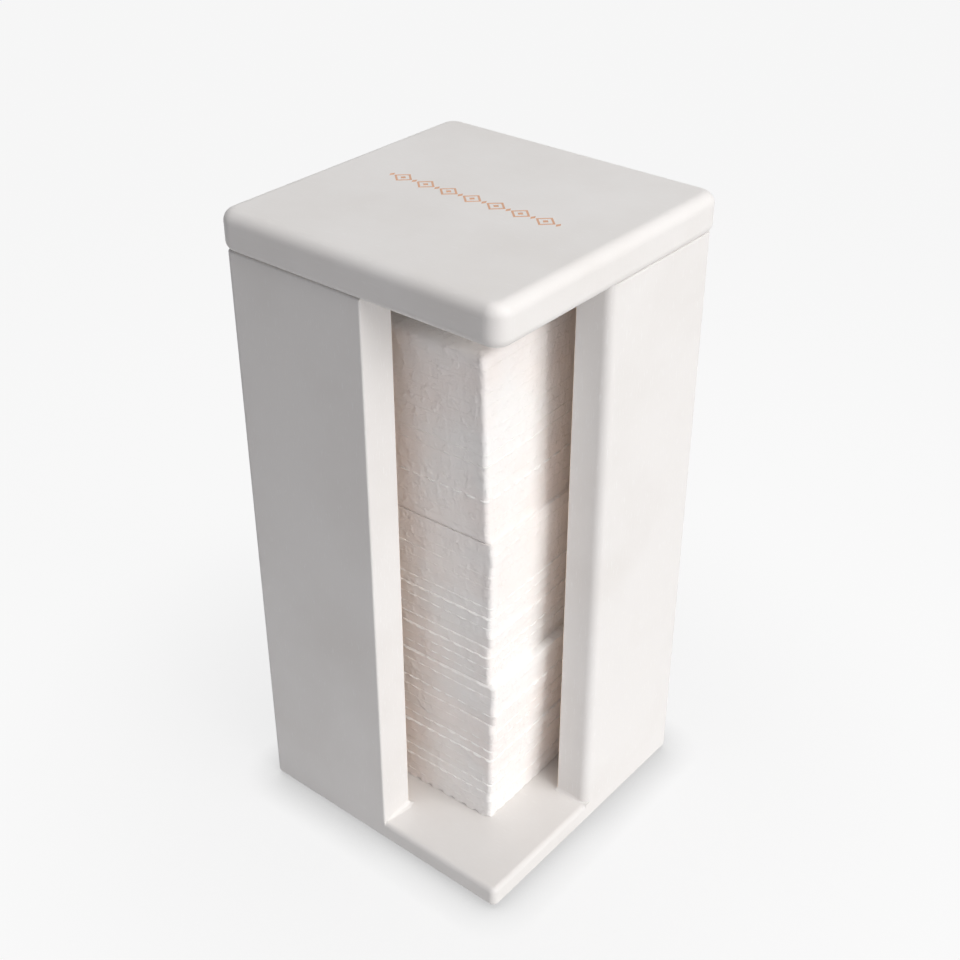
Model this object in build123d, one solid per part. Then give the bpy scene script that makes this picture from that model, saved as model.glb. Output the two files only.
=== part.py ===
from build123d import *
from math import sin
import os

# A box for nail wipes: a square tower of painted boards that stands on a table and is open
# at one upright corner, with a loose lid and a pile of square wipes inside.
# X points right and Y points back, seen from the front, and Z points up from the table.
# The open corner is the front right one. The origin is on the table, under the middle.
# All sizes are in millimetres.

# The wipes, and the three bundles that they were put in as, from the bottom up
WIPE_SIDE = 50.0
WIPE_CORNER_RADIUS = 1.2
BUNDLE_COUNTS = [15, 14, 16]
# Where a bundle's lowest wipe lies, and where its highest lies from there, right and back
BUNDLE_SHIFTS = [(-0.4, 1.1), (-0.25, 0.1), (-0.35, -0.3)]
BUNDLE_LEANS = [(2.0, -0.8), (1.0, 0.0), (-0.75, -0.6)]
# How far each bundle is turned, in degrees
BUNDLE_TURNS = [1.6, 2.0, 1.8]
# How far a single wipe lies out of line with its bundle, in millimetres and degrees
WIPE_WANDER = 0.2
WIPE_WANDER_TURN = 0.25

# The room round the pile: in all from side to side, and above it under the lid
SIDE_ROOM = 10.0
HEAD_ROOM = 9.15
# The pile is pushed back and to the left, with these gaps to the walls before it is turned
PILE_LEFT_GAP = 2.6
PILE_BACK_GAP = 2.8

# The boards of the case, and its height with the base board but without the lid
CASE_HEIGHT = 161.0
WALL_THICK = 10.0
BASE_THICK = 6.0
# The open corner, measured from the outside corner along the front and along the right side
FRONT_OPENING = 38.0
SIDE_OPENING = 39.8
# The rounding of the case's upright corners, its foot, its rim and the ends of the two short walls
CORNER_ROUNDING = 1.8
FOOT_ROUNDING = 1.2
RIM_ROUNDING = 0.5
FRONT_END_ROUNDING = 0.5
SIDE_END_ROUNDING = 2.5
INNER_END_ROUNDING = 0.5
# The rounding of the base board's top edge where it lies open
SILL_ROUNDING = 1.4

# The lid board, and the panel under it that keeps it in place
LID_THICK = 10.0
LID_OVERHANG = 1.1
LID_CORNER_ROUNDING = 4.5
LID_TOP_ROUNDING = 3.0
LID_UNDER_ROUNDING = 2.4
PANEL_THICK = 5.0
PANEL_CLEARANCE = 0.75
PANEL_CORNER_ROUNDING = 2.0
PANEL_LEAD_IN = 0.8

# The soft discs that the box stands on
FOOT_DIAMETER = 10.0
FOOT_THICK = 1.0
FOOT_INSET = 4.0

# Everything below follows from the sizes above
wipe_count = sum(BUNDLE_COUNTS)
inner_side = WIPE_SIDE + SIDE_ROOM
inner_half = inner_side / 2
outer_side = inner_side + 2 * WALL_THICK
outer_half = outer_side / 2
base_bottom = FOOT_THICK
base_top = base_bottom + BASE_THICK
rim = base_bottom + CASE_HEIGHT
panel_bottom = rim - PANEL_THICK
pile_top = panel_bottom - HEAD_ROOM
# The full pile is pressed a little, so each wipe takes an equal share of its height
wipe_thick = (pile_top - base_top) / wipe_count
front_end = outer_half - FRONT_OPENING
side_end = -outer_half + SIDE_OPENING
# The sill's rounding runs round the case's corner, so it stays inside that corner's own rounding
sill_rounding = min(SILL_ROUNDING, 0.95 * CORNER_ROUNDING)


def block(left, right, front, back, bottom, top):
    """A plain block between six planes."""
    size = (right - left, back - front, top - bottom)
    middle = ((left + right) / 2, (front + back) / 2, (bottom + top) / 2)
    return Pos(*middle) * Box(*size)


def upright_edge(solid, x, y):
    """The upright edge of a solid that stands at x, y."""
    nearest = solid.edges().filter_by(Axis.Z).sort_by_distance((x, y, (base_top + rim) / 2))
    return nearest[0]


def rounded_case():
    """The outside of the whole case, whose corners were rounded once the boards were glued."""
    body = block(-outer_half, outer_half, -outer_half, outer_half, base_bottom, rim)
    body = fillet(body.edges().filter_by(Axis.Z), CORNER_ROUNDING)
    body = fillet(body.faces().sort_by(Axis.Z)[0].edges(), FOOT_ROUNDING)
    return fillet(body.faces().sort_by(Axis.Z)[-1].edges(), RIM_ROUNDING)


def sill_cut():
    """What is taken off the base board's top edge round the open corner to round it over."""
    run = Polyline((front_end, -outer_half), (outer_half, -outer_half), (outer_half, side_end))
    path = fillet(run.vertices().sort_by_distance((outer_half, -outer_half))[0], CORNER_ROUNDING)
    path = Pos(0, 0, base_top) * path
    start = Plane(origin=(front_end, -outer_half, base_top), x_dir=(0, 1, 0), z_dir=(1, 0, 0))
    square = Rectangle(sill_rounding, sill_rounding, align=(Align.MIN, Align.MAX))
    rounding = Pos(sill_rounding, -sill_rounding) * Circle(sill_rounding)
    return sweep(start * (square - rounding), path=path)


def base_board(case):
    """The full square board under everything, rounded over where it shows at the open corner."""
    board = block(-outer_half, outer_half, -outer_half, outer_half, base_bottom, base_top)
    return board & case - sill_cut()


def front_wall(case):
    """The short front wall, from the left corner to the opening, outside the left wall's end."""
    wall = block(-outer_half, front_end, -outer_half, -inner_half, base_top, rim)
    wall = fillet(upright_edge(wall, front_end, -outer_half), FRONT_END_ROUNDING)
    wall = fillet(upright_edge(wall, front_end, -inner_half), INNER_END_ROUNDING)
    return wall & case


def right_wall(case):
    """The short right wall, from the opening to the back wall, with a soft outer edge."""
    wall = block(inner_half, outer_half, side_end, inner_half, base_top, rim)
    wall = fillet(upright_edge(wall, outer_half, side_end), SIDE_END_ROUNDING)
    wall = fillet(upright_edge(wall, inner_half, side_end), INNER_END_ROUNDING)
    return wall & case


def left_wall(case):
    """The left wall, between the front wall and the back wall."""
    return block(-outer_half, -inner_half, -inner_half, inner_half, base_top, rim) & case


def back_wall(case):
    """The back wall, as wide as the box."""
    return block(-outer_half, outer_half, inner_half, outer_half, base_top, rim) & case


def lid_board():
    """The loose lid: soft round its top edge and corners, less so underneath."""
    half = outer_half + LID_OVERHANG
    board = block(-half, half, -half, half, rim, rim + LID_THICK)
    board = fillet(board.edges().filter_by(Axis.Z), LID_CORNER_ROUNDING)
    board = fillet(board.faces().sort_by(Axis.Z)[-1].edges(), LID_TOP_ROUNDING)
    return fillet(board.faces().sort_by(Axis.Z)[0].edges(), LID_UNDER_ROUNDING)


def lid_panel():
    """The smaller panel glued under the lid, which drops between the walls and centres it."""
    half = inner_half - PANEL_CLEARANCE
    panel = block(-half, half, -half, half, panel_bottom, rim)
    panel = fillet(panel.edges().filter_by(Axis.Z), PANEL_CORNER_ROUNDING)
    return chamfer(panel.faces().sort_by(Axis.Z)[0].edges(), PANEL_LEAD_IN)


def foot_discs():
    """Four soft discs stuck under the base board, in from its corners."""
    reach = outer_half - FOOT_INSET - FOOT_DIAMETER / 2
    corners = GridLocations(2 * reach, 2 * reach, 2, 2)
    disc = Cylinder(FOOT_DIAMETER / 2, FOOT_THICK, align=(Align.CENTER, Align.CENTER, Align.MIN))
    return Compound(children=[place * disc for place in corners])


def wipe_places():
    """Where each wipe lies, from the bottom up: its middle, its underside and its turn."""
    places = []
    middle_x = -inner_half + PILE_LEFT_GAP + WIPE_SIDE / 2
    middle_y = inner_half - PILE_BACK_GAP - WIPE_SIDE / 2
    for count, shift, lean, turn in zip(BUNDLE_COUNTS, BUNDLE_SHIFTS, BUNDLE_LEANS, BUNDLE_TURNS):
        for step in range(count):
            share = step / (count - 1)
            index = len(places)
            x = middle_x + shift[0] + lean[0] * share + WIPE_WANDER * sin(2.4 * index)
            y = middle_y + shift[1] + lean[1] * share + WIPE_WANDER * sin(1.7 * index + 1)
            angle = turn + WIPE_WANDER_TURN * sin(3.1 * index)
            places.append((x, y, base_top + index * wipe_thick, angle))
    return places


def wipe(x, y, underside, turn):
    """One folded wipe as it lies in the pile, pressed flat by those above it."""
    outline = RectangleRounded(WIPE_SIDE, WIPE_SIDE, WIPE_CORNER_RADIUS)
    return Pos(x, y, underside) * Rot(Z=turn) * extrude(outline, wipe_thick)


os.makedirs("parts", exist_ok=True)
case = rounded_case()
pieces = {
    "base_board": base_board(case),
    "front_wall": front_wall(case),
    "right_wall": right_wall(case),
    "left_wall": left_wall(case),
    "back_wall": back_wall(case),
    "lid_board": lid_board(),
    "lid_panel": lid_panel(),
    "foot_discs": foot_discs(),
}
for number, place in enumerate(wipe_places(), 1):
    pieces[f"wipe_{number:02d}"] = wipe(*place)
for name, piece in pieces.items():
    export_step(piece, f"parts/{name}.step")
print("outside", outer_side, "rim", rim, "top", rim + LID_THICK, "wipes", wipe_count)
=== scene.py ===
import math

import bpy
import numpy as np
from mathutils import Matrix, Vector


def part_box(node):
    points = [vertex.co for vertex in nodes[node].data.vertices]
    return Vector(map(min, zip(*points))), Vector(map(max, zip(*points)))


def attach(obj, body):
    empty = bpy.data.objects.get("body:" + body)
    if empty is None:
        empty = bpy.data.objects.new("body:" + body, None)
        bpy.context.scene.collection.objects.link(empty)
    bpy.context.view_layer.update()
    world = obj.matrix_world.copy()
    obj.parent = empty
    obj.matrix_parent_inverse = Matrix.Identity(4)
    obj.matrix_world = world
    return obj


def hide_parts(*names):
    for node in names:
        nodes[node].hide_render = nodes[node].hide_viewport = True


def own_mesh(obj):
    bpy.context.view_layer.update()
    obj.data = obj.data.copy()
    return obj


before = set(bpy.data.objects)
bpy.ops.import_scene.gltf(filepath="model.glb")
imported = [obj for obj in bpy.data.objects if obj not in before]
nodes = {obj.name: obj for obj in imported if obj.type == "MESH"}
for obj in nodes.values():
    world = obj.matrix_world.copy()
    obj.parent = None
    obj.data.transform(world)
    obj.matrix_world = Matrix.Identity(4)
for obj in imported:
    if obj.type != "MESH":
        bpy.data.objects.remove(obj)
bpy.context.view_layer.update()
scene = bpy.context.scene
scene.view_settings.view_transform = "Standard"


# THE CAMERA
# It stands front right of the box and above it, looking at the open corner, and is held level. Its place
# and its focal length come from a least squares fit of the box's straight edges.
azimuth, elevation = math.radians(39.437), math.radians(32.513)
camera_distance = 0.372387
aim_right, aim_height = 0.00181, 0.096162
focal_px, frame_px, sensor_mm = 1459.2, 960, 36
nearest_seen = 0.01
away = Vector((math.sin(azimuth) * math.cos(elevation), -math.cos(azimuth) * math.cos(elevation),
               math.sin(elevation)))
right = Vector((math.cos(azimuth), math.sin(azimuth), 0))
up = away.cross(right)
camera = bpy.data.objects.new("camera", bpy.data.cameras.new("camera"))
aim = right * aim_right + Vector((0, 0, aim_height))
turned = Matrix((right, up, away)).transposed().to_4x4()
camera.matrix_world = Matrix.Translation(aim + away * camera_distance) @ turned
camera.data.sensor_width = sensor_mm
camera.data.lens = focal_px / frame_px * sensor_mm
camera.data.clip_start = nearest_seen
scene.collection.objects.link(camera)
scene.camera = camera


# THE STUDIO
# The main lamps stand on the right of the box, one low and one high. A large one hangs over it, and weak
# ones light its front and its back. The table is a pale plane that keeps the shadow, with a painted
# contact shadow round the box's foot and a painted fall-off of light away from it.
def add(tree, kind, sockets=None, **settings):
    """One shader node with its settings. Each socket gets a value, or a link from another node's socket."""
    node = tree.nodes.new("ShaderNode" + kind)
    for name, value in settings.items():
        setattr(node, name, value)
    for name, value in (sockets or {}).items():
        if isinstance(value, bpy.types.NodeSocket):
            tree.links.new(value, node.inputs[name])
        else:
            node.inputs[name].default_value = value
    return node


def maths(tree, operation, *values, **settings):
    """A sum of one to three values or sockets. MULTIPLY_ADD is the first times the second, plus the third."""
    return add(tree, "Math", dict(enumerate(values)), operation=operation, **settings).outputs[0]


def stretch(tree, value, low, high, to_low, to_high, **settings):
    """Carries the values from low to high over to those from to_low to to_high, and holds them there."""
    sockets = {0: value, 1: low, 2: high, 3: to_low, 4: to_high}
    return add(tree, "MapRange", sockets, **settings).outputs[0]


def between(tree, share, first, second):
    """A colour between two colours: the first at share 0, and the second at share 1."""
    return add(tree, "Mix", {0: share, 6: first, 7: second}, data_type="RGBA").outputs[2]


def new_material(name):
    """An empty material. Returns it with its tree, its output node and the place on the piece."""
    material = bpy.data.materials.new(name)
    material.use_nodes = True
    tree = material.node_tree
    tree.nodes.clear()
    output = tree.nodes.new("ShaderNodeOutputMaterial")
    return material, tree, output, add(tree, "TexCoord").outputs["Object"]


def soft_lamp(name, watts, colour, width, towards, distance):
    """A square lamp at a distance from the middle of the box, turned to face it."""
    lamp = bpy.data.objects.new(name, bpy.data.lights.new(name, "AREA"))
    lamp.data.shape = "SQUARE"
    lamp.data.size = width
    lamp.data.energy = watts
    lamp.data.color = colour
    box_middle = Vector((0, 0, 0.085))
    direction = Vector(towards).normalized()
    turn = direction.to_track_quat("Z", "Y").to_matrix().to_4x4()
    lamp.matrix_world = Matrix.Translation(box_middle + direction * distance) @ turn
    scene.collection.objects.link(lamp)
    return lamp


def seen_directly(tree):
    """A mask: 1 for what the camera sees, also in metal or through glass, and 0 for light on the object."""
    rays = add(tree, "LightPath").outputs
    straight = maths(tree, "MAXIMUM", rays["Is Camera Ray"], rays["Is Glossy Ray"])
    return maths(tree, "MAXIMUM", straight, rays["Is Transmission Ray"])


soft_lamp("key_lamp", watts=7.25, colour=(1.0, 0.985, 0.97), width=0.74, towards=(1, 0, 0.3), distance=1.2)
soft_lamp("high_lamp", watts=7.7, colour=(1.0, 1.0, 0.99), width=0.9, towards=(0.7, -0.1, 0.8),
          distance=1.4)
soft_lamp("top_lamp", watts=6.6, colour=(1.0, 0.98, 0.97), width=1.1, towards=(0.05, 0.0, 1), distance=1.4)
soft_lamp("front_lamp", watts=2.15, colour=(0.98, 0.935, 1.0), width=0.9, towards=(0.616, -0.788, 0.3),
          distance=1.4)
# The lamp at the back fills the far walls only, so it makes no shine
back_lamp = soft_lamp("back_lamp", watts=2.2, colour=(1.0, 0.99, 0.98), width=0.9, towards=(-0.7, 0.7, 0.1),
                      distance=1.4)
back_lamp.visible_glossy = False

world = bpy.data.worlds.new("room")
scene.world = world
world.use_nodes = True
room = world.node_tree
room.nodes.clear()
dim = add(room, "Background", {"Color": (0.9, 0.93, 1.0, 1), "Strength": 0.105})
pale = add(room, "Background", {"Color": (0.92, 0.92, 0.92, 1), "Strength": 1.0})
either = add(room, "MixShader", {0: seen_directly(room), 1: dim.outputs[0], 2: pale.outputs[0]})
add(room, "OutputWorld", {"Surface": either.outputs[0]})

floor_half = 8.0
floor_mesh = bpy.data.meshes.new("table_top")
floor_mesh.from_pydata([(-floor_half, -floor_half, 0), (floor_half, -floor_half, 0),
                        (floor_half, floor_half, 0), (-floor_half, floor_half, 0)], [], [(0, 1, 2, 3)])
floor = bpy.data.objects.new("table_top", floor_mesh)
scene.collection.objects.link(floor)
material, tree, output, place = new_material("pale_table")
far = add(tree, "VectorMath", {0: place}, operation="LENGTH").outputs["Value"]
# The table's own colour darkens away from the box: a painted fall-off of the light round it
painted_falloff = stretch(tree, far, 0.12, 0.5, 0.0, 1.0, interpolation_type="SMOOTHSTEP")
tone = between(tree, painted_falloff, (0.78, 0.78, 0.78, 1), (0.3, 0.3, 0.3, 1))
matt = add(tree, "BsdfPrincipled", {"Base Color": tone, "Roughness": 0.9})
# The glow stands for the bright room. It is dimmed where the box stands close over the table: a painted
# contact shadow
painted_contact_shadow = add(tree, "AmbientOcclusion", {"Distance": 0.011}, samples=12).outputs["AO"]
dimmed = stretch(tree, painted_contact_shadow, 0.5, 1.0, 0.68, 1.0)
glow = add(tree, "Emission", {"Color": (0.97, 0.97, 0.97, 1), "Strength": dimmed})
glowing = stretch(tree, far, 0.05, 0.16, 0.82, 0.94, interpolation_type="SMOOTHSTEP")
share = maths(tree, "MULTIPLY", seen_directly(tree), glowing)
table = add(tree, "MixShader", {0: share, 1: matt.outputs[0], 2: glow.outputs[0]})
tree.links.new(table.outputs[0], output.inputs["Surface"])
floor_mesh.materials.append(material)


# THE BOARDS OF THE CASE
# Ten millimetre boards, glued, filled and sprayed white with a satin paint until no seam shows. The
# paint has a faint orange peel, and the grain of the board stands through it in short upright dashes.
# The inside of the walls is bare board, which throws a warm light on the wipes beside it.
def new_group(name, inputs, outputs):
    """An empty shader group with named sockets. Returns the group, what goes in and what it puts out."""
    group = bpy.data.node_groups.new(name, "ShaderNodeTree")
    for label, kind, value in inputs:
        group.interface.new_socket(label, in_out="INPUT", socket_type=kind).default_value = value
    for label, kind in outputs:
        group.interface.new_socket(label, in_out="OUTPUT", socket_type=kind)
    return group, group.nodes.new("NodeGroupInput").outputs, group.nodes.new("NodeGroupOutput").inputs


def place_group(tree, group, sockets):
    """Puts a shader group in a material with its own values. Returns what it puts out."""
    return add(tree, "Group", sockets, node_tree=group).outputs


satin_paint, given, result = new_group(
    "satin_paint",
    [("Place", "NodeSocketVector", (0, 0, 0)), ("Grain Stretch", "NodeSocketVector", (1, 1, 1)),
     ("Grain", "NodeSocketFloat", 1.0), ("Colour", "NodeSocketColor", (0.8, 0.8, 0.8, 1)),
     ("Thin Colour", "NodeSocketColor", (0.7, 0.7, 0.7, 1))],
    [("Colour", "NodeSocketColor"), ("Roughness", "NodeSocketFloat"), ("Height", "NodeSocketFloat")])
# The grain's dashes are the peaks of a noise that is drawn out one way
along = add(satin_paint, "VectorMath", {0: given["Place"], 1: given["Grain Stretch"]}, operation="MULTIPLY")
grain = add(satin_paint, "TexNoise",
            {"Vector": along.outputs[0], "Scale": 1.0, "Detail": 3.0, "Roughness": 0.6}).outputs[0]
dashes = stretch(satin_paint, grain, 0.6, 0.7, 0.0, given["Grain"])
peel = add(satin_paint, "TexNoise", {"Vector": given["Place"], "Scale": 850.0, "Detail": 2.0}).outputs[0]
cloud = add(satin_paint, "TexNoise", {"Vector": given["Place"], "Scale": 32.0, "Detail": 3.0}).outputs[0]
# The paint is thinner and duller where the cloud is high. A dash keeps more paint, and lies a little lower
gloss = stretch(satin_paint, cloud, 0.3, 0.7, 0.36, 0.46)
duller = maths(satin_paint, "MULTIPLY_ADD", peel, 0.08, gloss)
sunk = maths(satin_paint, "MULTIPLY_ADD", dashes, -0.8, peel)
thin = maths(satin_paint, "ADD", stretch(satin_paint, cloud, 0.42, 0.72, 0.0, 0.6), 0.4)
thinner = maths(satin_paint, "MULTIPLY_ADD", dashes, -0.75, thin, use_clamp=True)
shade = between(satin_paint, thinner, given["Colour"], given["Thin Colour"])
satin_paint.links.new(shade, result["Colour"])
satin_paint.links.new(duller, result["Roughness"])
satin_paint.links.new(sunk, result["Height"])

bare_board, given, result = new_group(
    "bare_board",
    [("Place", "NodeSocketVector", (0, 0, 0)), ("Half Room", "NodeSocketFloat", 0.03),
     ("Light Fibre", "NodeSocketColor", (0.8, 0.6, 0.45, 1)),
     ("Dark Fibre", "NodeSocketColor", (0.7, 0.5, 0.35, 1))],
    [("Colour", "NodeSocketColor"), ("Mask", "NodeSocketFloat")])
felted = add(bare_board, "TexNoise",
             {"Vector": given["Place"], "Scale": 900.0, "Detail": 4.0, "Distortion": 1.5}).outputs[0]
fibres = between(bare_board, felted, given["Light Fibre"], given["Dark Fibre"])
bare_board.links.new(fibres, result["Colour"])
# A point is inside the box where it is less than half the room from the middle, both ways
sides = add(bare_board, "SeparateXYZ", {0: given["Place"]}).outputs
off_x, off_y = maths(bare_board, "ABSOLUTE", sides[0]), maths(bare_board, "ABSOLUTE", sides[1])
farther = maths(bare_board, "MAXIMUM", off_x, off_y)
bare_board.links.new(maths(bare_board, "LESS_THAN", farther, given["Half Room"]), result["Mask"])

# Half the room between the walls, in metres, and a little more, so that the walls' inner faces lie in it
half_room = 0.0303


def painted(name, grain_stretch, grain_size, inside_bare=0.0):
    """A white satin paint whose grain is drawn out along the axis with the smallest number. Where it faces
    the inside of the box, it gives way to bare board by the share inside_bare."""
    material, tree, output, place = new_material(name)
    paint = place_group(tree, satin_paint, {
        "Place": place, "Grain Stretch": grain_stretch, "Grain": grain_size,
        "Colour": (0.835, 0.82, 0.807, 1), "Thin Colour": (0.77, 0.746, 0.724, 1)})
    board = place_group(tree, bare_board, {
        "Place": place, "Half Room": half_room,
        "Light Fibre": (0.945, 0.765, 0.61, 1), "Dark Fibre": (0.88, 0.67, 0.51, 1)})
    bare = maths(tree, "MULTIPLY", board["Mask"], inside_bare)
    colour = between(tree, bare, paint["Colour"], board["Colour"])
    dull = stretch(tree, bare, 0.0, 1.0, paint["Roughness"], 0.8)
    bump = add(tree, "Bump", {"Strength": 0.5, "Distance": 0.00003, "Height": paint["Height"]})
    skin = add(tree, "BsdfPrincipled", {"Base Color": colour, "Roughness": dull, "Normal": bump.outputs[0],
                                        "Specular IOR Level": 0.4})
    tree.links.new(skin.outputs[0], output.inputs["Surface"])
    return material


def dress(node, material):
    """Gives a CAD node its material."""
    nodes[node].data.materials.clear()
    nodes[node].data.materials.append(material)


upright_paint = painted("satin_paint_upright", (2100, 2100, 300), 1.0, inside_bare=1.0)
level_paint = painted("satin_paint_level", (300, 2100, 2100), 0.4)
for wall in ("front_wall", "right_wall", "left_wall", "back_wall"):
    dress(wall, upright_paint)
dress("base_board", level_paint)


# THE LID
# A thicker looking board with well rounded edges, sprayed with the same paint, and a smaller panel
# glued under it that drops between the walls.
dress("lid_board", level_paint)
dress("lid_panel", level_paint)


# THE FILLED CORNERS
# Where a wall stands on the base board, the maker ran a bead of filler along the corner and painted
# over it. It is widest at the two wall ends that show in the opening, and thin inside the chamber.
def skin_mesh(name, rings, edge_map=None):
    """A skin over rings of points that follow one another along a piece. Each ring is closed on itself,
    quads join a ring to the next, and a point in the middle of the first and the last ring closes the ends.
    An edge map gives each point a number. The mesh's map has it as height, and runs once round a ring."""
    count, around = rings.shape[:2]
    points = np.vstack([rings.reshape(-1, 3), rings[0].mean(0), rings[-1].mean(0)])
    i, j = np.meshgrid(np.arange(count - 1), np.arange(around), indexing="ij")
    after = (j + 1) % around
    quads = np.stack([i * around + j, i * around + after, (i + 1) * around + after, (i + 1) * around + j], -1)
    quads = quads.reshape(-1, 4)
    k = np.arange(around)
    first = np.stack([(k + 1) % around, k, np.full(around, count * around)], -1)
    last = np.stack([k, (k + 1) % around, np.full(around, 1)], -1) + (count - 1) * around
    last[:, 2] = count * around + 1
    loops = np.concatenate([quads.ravel(), first.ravel(), last.ravel()])
    sizes = np.concatenate([np.full(len(quads), 4), np.full(2 * around, 3)])
    mesh = bpy.data.meshes.new(name)
    mesh.vertices.add(len(points))
    mesh.vertices.foreach_set("co", points.astype(np.float32).ravel())
    mesh.loops.add(len(loops))
    mesh.loops.foreach_set("vertex_index", loops.astype(np.int32))
    mesh.polygons.add(len(sizes))
    mesh.polygons.foreach_set("loop_start", (np.cumsum(sizes) - sizes).astype(np.int32))
    mesh.polygons.foreach_set("loop_total", sizes.astype(np.int32))
    mesh.update(calc_edges=True)
    mesh.shade_smooth()
    if edge_map is not None:
        across = np.stack([j, j + 1, j + 1, j], -1).ravel()
        level = np.stack([i, i, i + 1, i + 1], -1).ravel()
        ends = np.concatenate([np.stack([k + 1, k, k], -1).ravel(), np.stack([k, k + 1, k], -1).ravel()])
        u = np.concatenate([across, ends])
        v = edge_map[np.concatenate([level, np.repeat([0, count - 1], 3 * around)]), u % around]
        layer = mesh.uv_layers.new(name="edge")
        layer.data.foreach_set("uv", np.stack([u / around, v], -1).astype(np.float32).ravel())
    return mesh


def show(name, mesh, material, body):
    """Puts a finished mesh in the scene with its material, and lets it ride on a body."""
    piece = bpy.data.objects.new(name, mesh)
    scene.collection.objects.link(piece)
    mesh.materials.append(material)
    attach(piece, body)
    return piece


def ripple(random, waves, s, length):
    """A smooth random line that closes on itself: a sum of sine waves of whole numbers of periods, each
    weaker the shorter it is, brought to a largest size of 1."""
    number = np.arange(waves[0], waves[1] + 1)
    phase = random.uniform(0, 2 * math.pi, len(number))
    size = random.normal(0, 1, len(number)) / np.sqrt(number)
    line = (size[:, None] * np.sin(2 * math.pi * number[:, None] * s / length + phase[:, None])).sum(0)
    return line / np.abs(line).max()


# The foot of the walls, in millimetres, with the direction away from the wall and the bead's width there
foot_line = np.array([
    (2, -38.9, 1, 0, 0.12), (2, -37, 1, 0, 0.7), (2, -33, 1, 0, 1.3), (2, -31, 1, 0, 1.5),
    (2, -30, 1, 1, 1.0), (0, -30, 0, 1, 0.6), (-30, -30, 1, 1, 0.5), (-30, 30, 1, -1, 0.5),
    (30, 30, -1, -1, 0.5), (30, 2, -1, 0, 0.6), (30, -0.2, -1, -1, 0.7), (31, -0.2, 0, -1, 0.9),
    (34, -0.2, 0, -1, 0.9), (37.5, -0.2, 0, -1, 0.7), (38.46, -0.01, 0.38, -0.92, 0.45),
    (38.9, 0.22, 0.55, -0.83, 0.1)])
bead_step, bead_sunk, bead_uneven = 0.4, 0.06, 0.14
base_top_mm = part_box("front_wall")[0].z * 1000
step_lengths = np.hypot(*np.diff(foot_line[:, :2], axis=0).T)
reached = np.concatenate([[0], np.cumsum(step_lengths)])
stations = np.unique(np.concatenate([reached, np.arange(0, reached[-1], bead_step)]))
x, y, away_x, away_y, width = (np.interp(stations, reached, column) for column in foot_line.T)
# On a straight run the direction is that of the wall, and only the corners themselves are mitred
run = np.clip(np.searchsorted(reached, stations, side="right") - 1, 0, len(step_lengths) - 1)
at_corner = np.isclose(stations[:, None], reached[None, :]).any(1)
heading = np.diff(foot_line[:, :2], axis=0) / step_lengths[:, None]
away_x = np.where(at_corner, away_x, heading[run, 1])
away_y = np.where(at_corner, away_y, -heading[run, 0])
random = np.random.default_rng(5)
width = width * (1 + bead_uneven * ripple(random, (8, 90), stations, reached[-1]))
# The bead's section is a hollow quarter circle of size 1. Below 0 a point is sunk in the board or the wall
hollow = np.linspace(math.pi / 2, 0, 7)
out = np.concatenate([[-1, 1], 1 - np.cos(hollow), [-1]])
height = np.concatenate([[-1, -1], 1 - np.sin(hollow), [1]])
reach_out = np.where(out < 0, -bead_sunk, out[None, :] * width[:, None])
reach_up = np.where(height < 0, -bead_sunk, height[None, :] * width[:, None])
rings = np.stack([x[:, None] + away_x[:, None] * reach_out, y[:, None] + away_y[:, None] * reach_out,
                  base_top_mm + reach_up], -1) / 1000
show("corner_filler", skin_mesh("corner_filler", rings[:, ::-1]), level_paint, "box")

# The sill's rounding stops at the right wall, and the step that it leaves there is filled to a short ramp
# with the bead's section. The step is as high as the square edge stands over the rounding's quarter circle,
# measured straight out from the middle of that circle
sill_rounding, sill_end, half_box = 1.4, -0.2, 40.0
ramp_steps, ramp_margin = 16, 0.03
least_ramp, ramp_per_height = 0.15, 2.0
angle = np.linspace(ramp_margin, math.pi / 2 - ramp_margin, ramp_steps)
arc_foot = np.stack([half_box - sill_rounding * (1 - np.sin(angle)), np.full(ramp_steps, sill_end),
                     base_top_mm - sill_rounding * (1 - np.cos(angle))], -1)
outwards = np.stack([np.sin(angle), np.zeros(ramp_steps), np.cos(angle)], -1)
backwards = np.array([0, 1, 0])
step_height = sill_rounding * (np.minimum(1 / np.cos(angle), 1 / np.sin(angle)) - 1)
ramp_length = least_ramp + ramp_per_height * step_height
back = np.where(out < 0, bead_sunk, -out * ramp_length[:, None])
lifted = np.where(height < 0, -bead_sunk, height * step_height[:, None])
rings = arc_foot[:, None, :] + outwards[:, None, :] * lifted[..., None] + backwards * back[..., None]
show("sill_ramp", skin_mesh("sill_ramp", rings[:, ::-1] / 1000), level_paint, "box")


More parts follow.
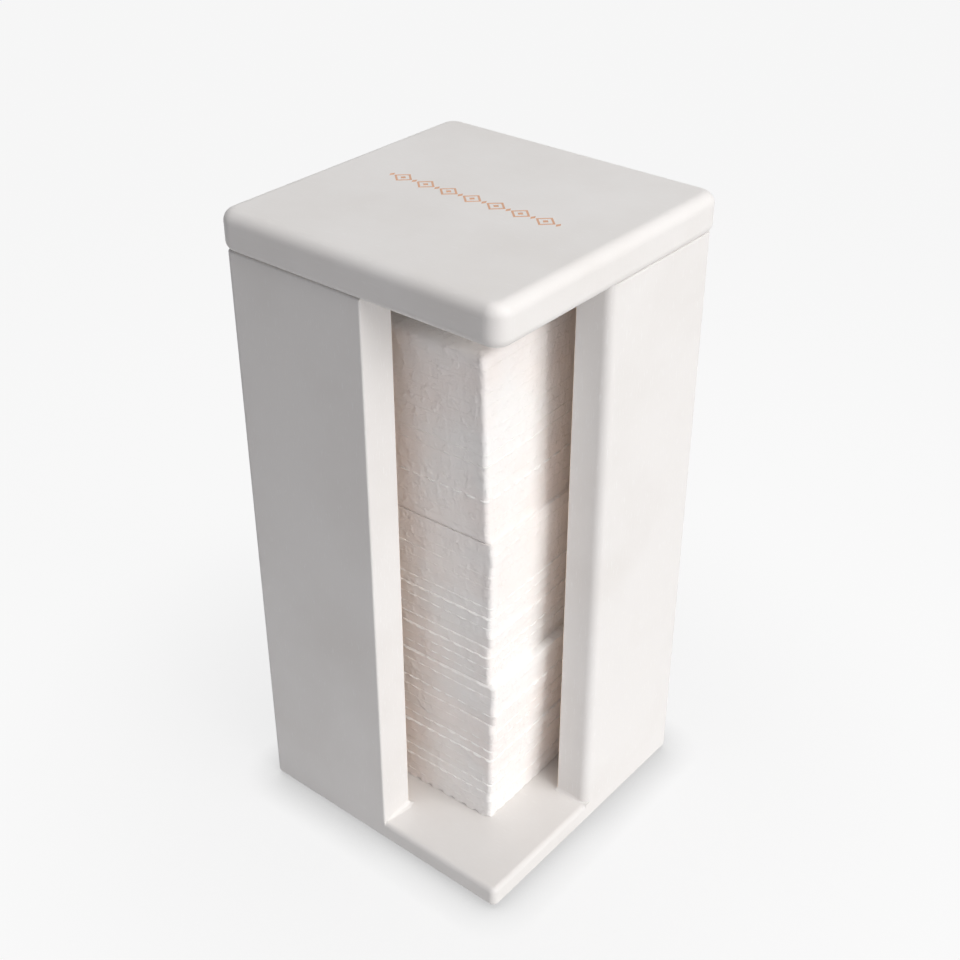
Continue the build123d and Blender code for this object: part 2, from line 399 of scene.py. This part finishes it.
# THE ORNAMENT ON THE LID
# A line of copper foil, hot pressed into the paint in the middle of the lid: a chain of open lozenges
# with small solid ones between them. The foil is a few hundredths of a millimetre thick and rounded at
# its edges.
def lozenges(middles, reach_x, reach_y, stroke):
    """Flat lozenges of foil in a row along X, in millimetres. Each is a ring of four corners whose cross
    section is a low dome as wide as the stroke, where a stroke that reaches the middle makes it solid."""
    corners = np.array([(1, 0), (0, 1), (-1, 0), (0, -1)])
    share = np.array([1.0, 1.0, 0.75, 0.25, 0.0, 0.0])
    lift = np.array([-0.03, 0.012, 0.04, 0.04, 0.012, -0.03])
    least_hole = 0.01
    turns, deep = len(corners), len(share)
    slope = math.hypot(reach_x, reach_y)
    outer = np.array([reach_x, reach_y])
    inner = np.array([reach_x - stroke * slope / reach_y, reach_y - stroke * slope / reach_x])
    inner = inner.clip(least_hole)
    size = inner + share[:, None] * (outer - inner)
    ring = corners[:, None, :] * size[None, :, :]
    solid = np.concatenate([ring, np.broadcast_to(lift[None, :, None], (turns, deep, 1))], 2)
    points = (solid[None] + np.array([(x, 0, 0) for x in middles])[:, None, None, :]).reshape(-1, 3)
    m, i, j = np.meshgrid(np.arange(len(middles)), np.arange(turns), np.arange(deep), indexing="ij")
    here, after = (m * turns + i) * deep, (m * turns + (i + 1) % turns) * deep
    across = (j + 1) % deep
    faces = np.stack([here + j, after + j, after + across, here + across], -1).reshape(-1, 4)
    return points, faces


foil, tree, output, place = new_material("copper_foil")
worn = add(tree, "TexNoise", {"Vector": place, "Scale": 900.0, "Detail": 3.0}).outputs[0]
tone = between(tree, worn, (0.56, 0.30, 0.18, 1), (0.68, 0.40, 0.26, 1))
rough = stretch(tree, worn, 0.3, 0.7, 0.3, 0.5)
press = add(tree, "Bump", {"Strength": 0.3, "Distance": 0.00003, "Height": worn})
skin = add(tree, "BsdfPrincipled", {"Base Color": tone, "Metallic": 0.9, "Roughness": rough,
                                    "Normal": press.outputs[0]})
tree.links.new(skin.outputs[0], output.inputs["Surface"])

lid_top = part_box("lid_board")[1].z
pitch = 7.0
open_row, space_row = np.arange(-3, 4) * pitch, np.arange(-3.5, 4) * pitch
parts = [lozenges(open_row, reach_x=2.75, reach_y=2.6, stroke=0.52),
         lozenges(open_row, reach_x=0.8, reach_y=0.8, stroke=1.0),
         lozenges(space_row, reach_x=0.6, reach_y=1.0, stroke=1.0)]
points = np.vstack([part[0] for part in parts]) / 1000 + np.array([0, 0, lid_top])
starts = np.cumsum([0] + [len(part[0]) for part in parts])
faces = np.vstack([part[1] + start for part, start in zip(parts, starts)])
ornament_mesh = bpy.data.meshes.new("lid_ornament")
ornament_mesh.from_pydata(points.tolist(), [], faces.tolist())
ornament_mesh.materials.append(foil)
ornament = bpy.data.objects.new("lid_ornament", ornament_mesh)
scene.collection.objects.link(ornament)
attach(ornament, "lid")


# THE WIPES
# Square wipes of soft unwoven cotton, folded and cut in a press that crimps their edges every four
# millimetres. They were put in as three bundles and lie pressed together. Only their crimped lips stand
# out.
low_wipe, high_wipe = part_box("wipe_01")
wipe_side = 0.050
wipe_corner = 0.0012
wipe_thick = high_wipe.z - low_wipe.z
around = 640
crimp_pitch = 0.004
bundle_ends = [0, 15, 29, 45]
wipe_names = sorted(name for name in nodes if name.startswith("wipe_"))
# How far an edge strays, in metres: its whole run, its cut, its roughness, and its lip up and down
edge_bend, cut_nibble, edge_rough, lip_wave = 0.00015, 0.00004, 0.00003, 0.00013
# How proud each wipe's lip stands, from the bottom of the pile up, as a share of the full lip, and how much
# of that is even along the edge and how much comes and goes
full_lip = 0.00036
proud = [0.5, 0.7, 0.9, 0.5, 0.9, 0.5, 1.0, 0.9, 1.0, 0.4, 0.4, 1.0, 0.5, 0.6, 0.9,
         1.0, 1.0, 0.9, 0.7, 0.6, 1.0, 0.9, 0.8, 0.25, 0.2, 0.3, 0.2, 0.2, 0.15,
         0.2, 0.25, 0.15, 0.9, 0.25, 0.15, 0.65, 0.5, 0.15, 0.3, 0.15, 0.1, 0.2, 0.1, 0.15, 0.2]
lip_even, lip_uneven = 0.6, 0.4
# How far the press breaks a lip into dashes, how hard a dash's ends are, how much longer it is than the
# gap, and how far round its beat the first one may start
usual_crimp = 0.6
crimped = {1: 1.0, 12: 0.8, 33: 1.0, 15: 0.35, 19: 0.5, 36: 0.2, 37: 0.2}
dash_hard, dash_longer, dash_start = 3, 0.35, 6.28
# How far a wipe lies flush with the others of its bundle
flush = {n: 0.9 for n in range(30, 46)} | {n: 0.6 for n in range(24, 30)}
# Where a new bundle starts, its lowest wipe's lower edge stands back along the front, in metres
stands_back = {16: 0.0003, 30: 0.0007}
# The side of a wipe from its underside up: share of its height, how much it has of the crease and the lip
side_profile = np.array([
    (0.0, 1.0, 0.0), (0.03, 0.4, 0.0), (0.09, 0.0, 0.0), (0.3, -0.4, 0.0), (0.5, -0.6, 0.0),
    (0.68, -0.3, 0.0), (0.78, 0.0, 0.08), (0.84, 0.0, 0.45), (0.88, 0.0, 0.88), (0.915, 0.0, 1.0),
    (0.95, 0.0, 0.85), (0.975, 0.1, 0.5), (0.99, 0.5, 0.15), (1.0, 1.0, 0.0)])
crease_depth = 0.00003
# The press scallops the lowest wipe's lower edge, up to this share of its height. A scallop reaches out, the
# edge between two is lifted, all of it stands back a little, and the other sides have less of it
scallop_top, scallop_out, scallop_lift, scallop_back, scallop_aside = 0.35, 0.0005, 0.0012, 0.00015, 0.35
# The top wipe's edge is rounded over by handling: share of its height, and how far it draws in, in mm
rounded_over = np.array([(0.66, 0.12), (0.79, 0.38), (0.89, 0.8), (0.955, 1.4), (0.99, 2.2), (1.0, 3.4)])
# How uneven the top wipe is, in metres: the lumps and the height of its rounded edge, and its upper face
top_lumps, top_waves, top_sag = 0.00022, 0.0006, 0.00012
# How far in from the edge the rings of an upper face lie, in mm
face_rings = np.array([2, 4, 7, 11, 16, 21])
# What share of the height the edge map shows where there is no lip, and what a full lip adds to it
map_plain, map_lip = 0.8, 0.2


def outline():
    """A square with round corners, walked anticlockwise from the middle of its right side: straight runs
    joined by quarter circles, at equal steps of its length. Returns the points, the outward directions, how
    far along the edge each point lies, and the edge's length."""
    half, r = wipe_side / 2, wipe_corner
    run, arc = 2 * (half - r), r * math.pi / 2
    length = 4 * (run + arc)
    s = np.arange(around) / around * length
    side, t = np.divmod((s + run / 2) % length, run + arc)
    straight = t < run
    angle = np.where(straight, 0, (t - run) / r)
    x = np.where(straight, half, half - r + r * np.cos(angle))
    y = np.where(straight, t - run / 2, half - r + r * np.sin(angle))
    turn = side * math.pi / 2
    points = np.stack([x * np.cos(turn) - y * np.sin(turn), x * np.sin(turn) + y * np.cos(turn)], -1)
    return points, np.stack([np.cos(turn + angle), np.sin(turn + angle)], -1), s, length


corner_points, outward, edge_run, edge_length = outline()
# How squarely each point of the outline faces the front: 1 along it, and 0 on the other sides
toward_front = np.clip(-outward[:, 1], 0, 1)


def drawn_in(millimetres):
    """The outline made smaller, so that its sides lie so many millimetres further in."""
    return corner_points * (1 - millimetres / 1000 / (wipe_side / 2))


def wipe_rings(number, underside):
    """Rings up the side of a wipe. Each is the outline, moved outwards by a bend of the whole edge and by a
    lip near the top that the press breaks up, and inwards by the crease at top and bottom. A step back
    under a new bundle fades out over the lowest third of the height, and so do the scallops up to their
    top. The edge map is each point's share of the height, a fifth less where there is no lip."""
    random = np.random.default_rng(100 + number)

    def wander(*waves):
        return ripple(random, waves, edge_run, edge_length)

    together = flush.get(number, 0.0)
    shared = ripple(np.random.default_rng(30), (2, 20), edge_run, edge_length)
    bend = edge_bend * ((1 - together) * wander(2, 14) + together * shared)
    nibble = cut_nibble * wander(30, 160)
    broken = lip_even + lip_uneven * wander(5, 60)
    beats = round(edge_length / crimp_pitch)
    beat = np.sin(2 * math.pi * beats * edge_run / edge_length + random.uniform(0, dash_start))
    dashes = 0.5 + 0.5 * np.tanh(dash_hard * (beat + dash_longer))
    crimp = crimped.get(number, usual_crimp)
    lip_size = proud[number - 1] * (broken * (1 - crimp) + dashes * crimp)
    wave = lip_wave * wander(3, 40)
    top_one = number == len(wipe_names)
    below_rounding = side_profile[:, 0] < rounded_over[0, 0]
    rings, levels = [], []
    for share, creased, lipped in side_profile[below_rounding] if top_one else side_profile:
        back = stands_back.get(number, 0.0) * toward_front * max(0.0, 1 - 3 * share)
        out = bend + nibble - crease_depth * (1 - together) * creased + full_lip * lip_size * lipped - back
        out = out + edge_rough * wander(40, 200)
        height = share * wipe_thick + wave * lipped
        if number == 1 and share < scallop_top:
            front = np.where(toward_front > 0.5, 1.0, scallop_aside)
            out = out + front * (scallop_out * dashes * (scallop_top - share) - scallop_back)
            height = height + scallop_lift * front * (1 - dashes) * (scallop_top - share)
        rings.append(np.column_stack([corner_points + outward * out[:, None], underside + height]))
        levels.append(share)
    if top_one:
        lumps = top_lumps * wander(6, 60)
        for share, inwards in rounded_over:
            flat = drawn_in(inwards) + outward * (bend + lumps * share)[:, None]
            height = share * (wipe_thick + top_waves * wander(3, 30) * (1 - share))
            rings.append(np.column_stack([flat, underside + height]))
            levels.append(share)
    # The two highest wipes can be seen from above, so their upper faces are drawn out to the middle
    if number >= len(wipe_names) - 1:
        edge_reaches = rounded_over[-1, 1] if top_one else 0
        for inwards in face_rings[face_rings > edge_reaches]:
            sag = top_sag * np.abs(wander(2, 9)) if top_one else 0.0
            level = np.full(around, underside + levels[-1] * wipe_thick) - sag
            rings.append(np.column_stack([drawn_in(inwards), level]))
            levels.append(levels[-1])
    return np.array(rings), np.array(levels)[:, None] * (map_plain + map_lip * lip_size.clip(0, 1))


cotton, tree, output, place = new_material("unwoven_cotton")
level = add(tree, "SeparateXYZ", {0: add(tree, "UVMap", uv_map="edge").outputs[0]}).outputs[1]
strands = add(tree, "TexNoise", {"Vector": place, "Scale": 1400.0, "Detail": 5.0, "Roughness": 0.65,
                                 "Distortion": 1.2}).outputs[0]
lumps = add(tree, "TexNoise", {"Vector": place, "Scale": 420.0, "Detail": 3.0, "Roughness": 0.5}).outputs[0]
patches = add(tree, "TexNoise", {"Vector": place, "Scale": 45.0, "Detail": 2.0}).outputs[0]
lumpy = stretch(tree, lumps, 0.5, 0.8, 0.0, 1.0)
relief = maths(tree, "MULTIPLY_ADD", lumpy, 2.2, strands)
bump = add(tree, "Bump", {"Strength": 0.7, "Distance": 0.00014, "Height": relief})
# The cotton has warmer and cooler patches, and is paler on the lip: partly because the press made it
# dense there, and partly as a painted highlight where the lip catches the light from above
cast = stretch(tree, patches, 0.38, 0.62, 0.0, 1.0)
tint = between(tree, cast, (0.94, 0.89, 0.862, 1), (0.938, 0.923, 0.908, 1))
lip_dense_and_highlit = stretch(tree, level, 0.82, 0.9, 0.0, 1.0)
dense_and_highlit = between(tree, lip_dense_and_highlit, tint, (0.965, 0.955, 0.94, 1))
skin = add(tree, "BsdfPrincipled", {"Base Color": dense_and_highlit, "Roughness": 0.9, "Normal": bump.outputs[0],
                                    "Specular IOR Level": 0.15, "Sheen Weight": 0.1})
tree.links.new(skin.outputs[0], output.inputs["Surface"])

# Each wipe lies where its solid does. Its box, less the corners' radius, grows with the sine of its turn
# plus 45 degrees, which gives the turn. A flush wipe is drawn towards the straight line and the mean turn
# of its bundle
boxes = np.array([[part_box(name)[0][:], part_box(name)[1][:]] for name in wipe_names])
centres = boxes.mean(1)[:, :2]
reach = ((boxes[:, 1, 0] - boxes[:, 0, 0]) / 2 - wipe_corner) / (wipe_side / 2 - wipe_corner)
turns = np.arcsin(np.minimum(reach / math.sqrt(2), 1.0)) - math.pi / 4
for first, end in zip(bundle_ends, bundle_ends[1:]):
    index = np.arange(first, end)
    share = np.array([flush.get(n + 1, 0.0) for n in index])
    for side in (0, 1):
        line = np.polyval(np.polyfit(index, centres[first:end, side], 1), index)
        centres[first:end, side] += share * (line - centres[first:end, side])
    turns[first:end] += share * (turns[first:end].mean() - turns[first:end])

for number, name in enumerate(wipe_names, 1):
    rings, levels = wipe_rings(number, boxes[number - 1, 0, 2])
    cos, sin = math.cos(turns[number - 1]), math.sin(turns[number - 1])
    x, y = rings[..., 0].copy(), rings[..., 1].copy()
    rings[..., 0] = x * cos - y * sin + centres[number - 1, 0]
    rings[..., 1] = x * sin + y * cos + centres[number - 1, 1]
    body = "top_wipe" if name == wipe_names[-1] else "box"
    piece = show("soft_" + name, skin_mesh("soft_" + name, rings, levels), cotton, body)
    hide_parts(name)
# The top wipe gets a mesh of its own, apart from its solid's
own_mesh(piece)


# THE FEET
# Four soft discs of pale rubber, punched from a sheet with a sticky back. They are stuck under the base
# board, in from its corners, and keep the box from sliding.
rubber, tree, output, place = new_material("pale_rubber")
grit = add(tree, "TexNoise", {"Vector": place, "Scale": 2500.0, "Detail": 2.0}).outputs[0]
shade = between(tree, grit, (0.68, 0.67, 0.65, 1), (0.75, 0.74, 0.72, 1))
rough = stretch(tree, grit, 0.3, 0.7, 0.6, 0.8)
bump = add(tree, "Bump", {"Strength": 0.3, "Distance": 0.00005, "Height": grit})
skin = add(tree, "BsdfPrincipled", {"Base Color": shade, "Roughness": rough, "Normal": bump.outputs[0]})
tree.links.new(skin.outputs[0], output.inputs["Surface"])
dress("foot_discs", rubber)
